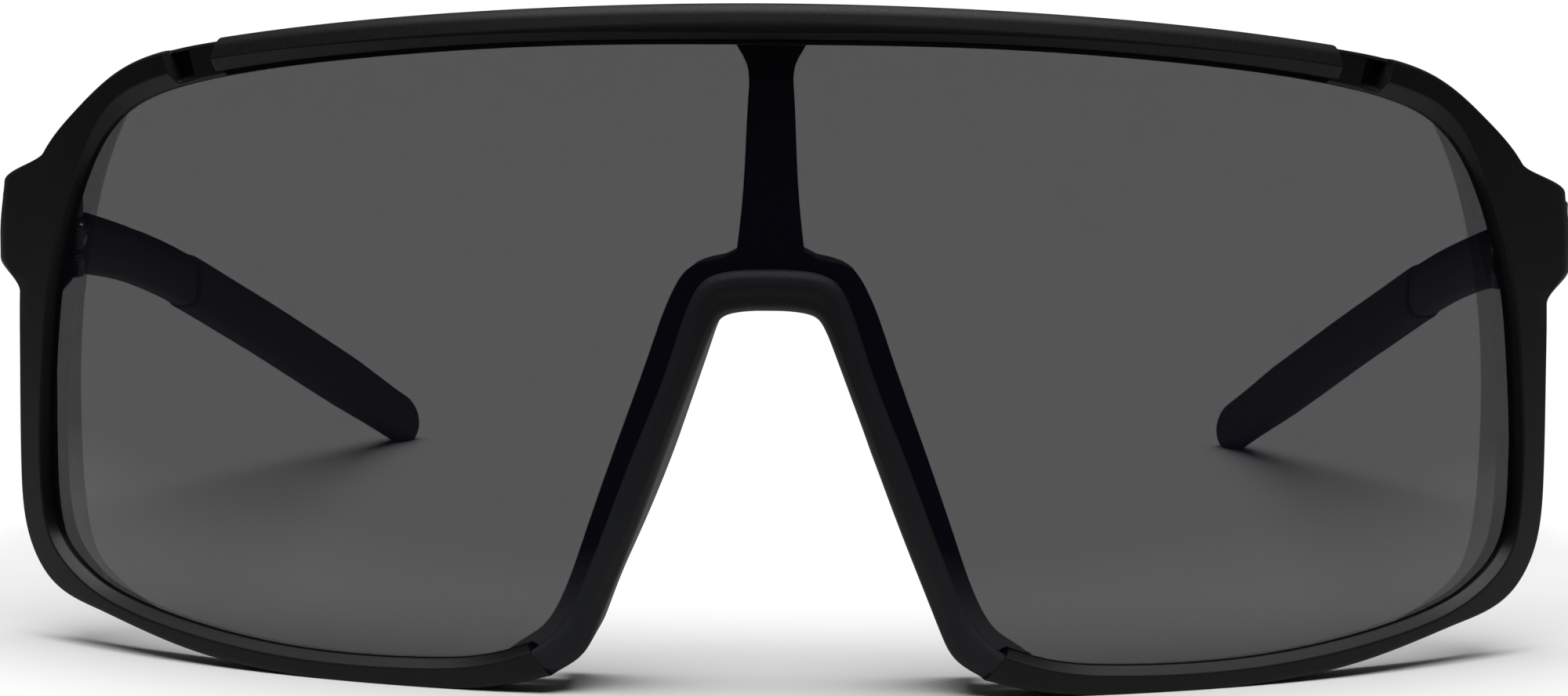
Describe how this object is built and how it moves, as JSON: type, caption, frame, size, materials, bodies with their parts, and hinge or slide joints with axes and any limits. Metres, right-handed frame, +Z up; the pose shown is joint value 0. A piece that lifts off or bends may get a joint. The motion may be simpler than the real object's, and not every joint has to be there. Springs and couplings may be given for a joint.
{
  "type": "wraparound sport sunglasses",
  "caption": "Full-rim wraparound sunglasses with a one-piece smoke shield lens, raised brow bar, rubber nose saddle and folding temples with rubber grips.",
  "frame": {"origin": "centre of the footprint on the table that the open glasses stand on", "axes": "+Z up, +X to the right of someone who looks at the front of the lens, the lens faces -Y and the temples run towards +Y"},
  "size_m": [0.146, 0.1724, 0.0602],
  "materials": {
    "matte_nylon": "fine matte moulded nylon",
    "gloss_nylon": "polished",
    "soft_rubber": "matte soft touch",
    "smoke_lens": "polished grey tint",
    "dark_nylon": "matte",
    "steel": "dark satin"
  },
  "bodies": {
    "front": {"front_frame": "matte_nylon", "brow_bar": "matte_nylon", "shield_lens": "smoke_lens", "nose_bridge": "gloss_nylon", "nose_pad_clip": "gloss_nylon", "nose_pad": "soft_rubber", "left_hinge_front_leaf": "steel", "left_front_leaf_screw": "steel", "left_hinge_screw": "steel", "left_hinge_washer_lower": "dark_nylon", "left_hinge_washer_upper": "dark_nylon", "right_hinge_front_leaf": "steel", "right_front_leaf_screw": "steel", "right_hinge_screw": "steel", "right_hinge_washer_lower": "dark_nylon", "right_hinge_washer_upper": "dark_nylon"},
    "left_temple": {"left_temple_arm": "matte_nylon", "left_temple_grip": "soft_rubber", "left_hinge_temple_leaf": "steel", "left_temple_leaf_screw": "steel"},
    "right_temple": {"right_temple_arm": "matte_nylon", "right_temple_grip": "soft_rubber", "right_hinge_temple_leaf": "steel", "right_temple_leaf_screw": "steel"}
  },
  "joints": [
    {"name": "left_temple_fold", "type": "hinge", "parent": "front", "child": "left_temple", "pos_m": [-0.0677, -0.0418, 0.0357], "axis": [0, 0, -1], "range_deg": [0, 76]},
    {"name": "right_temple_fold", "type": "hinge", "parent": "front", "child": "right_temple", "pos_m": [0.0677, -0.0418, 0.0357], "axis": [0, 0, 1], "range_deg": [0, 82]}
  ]
}
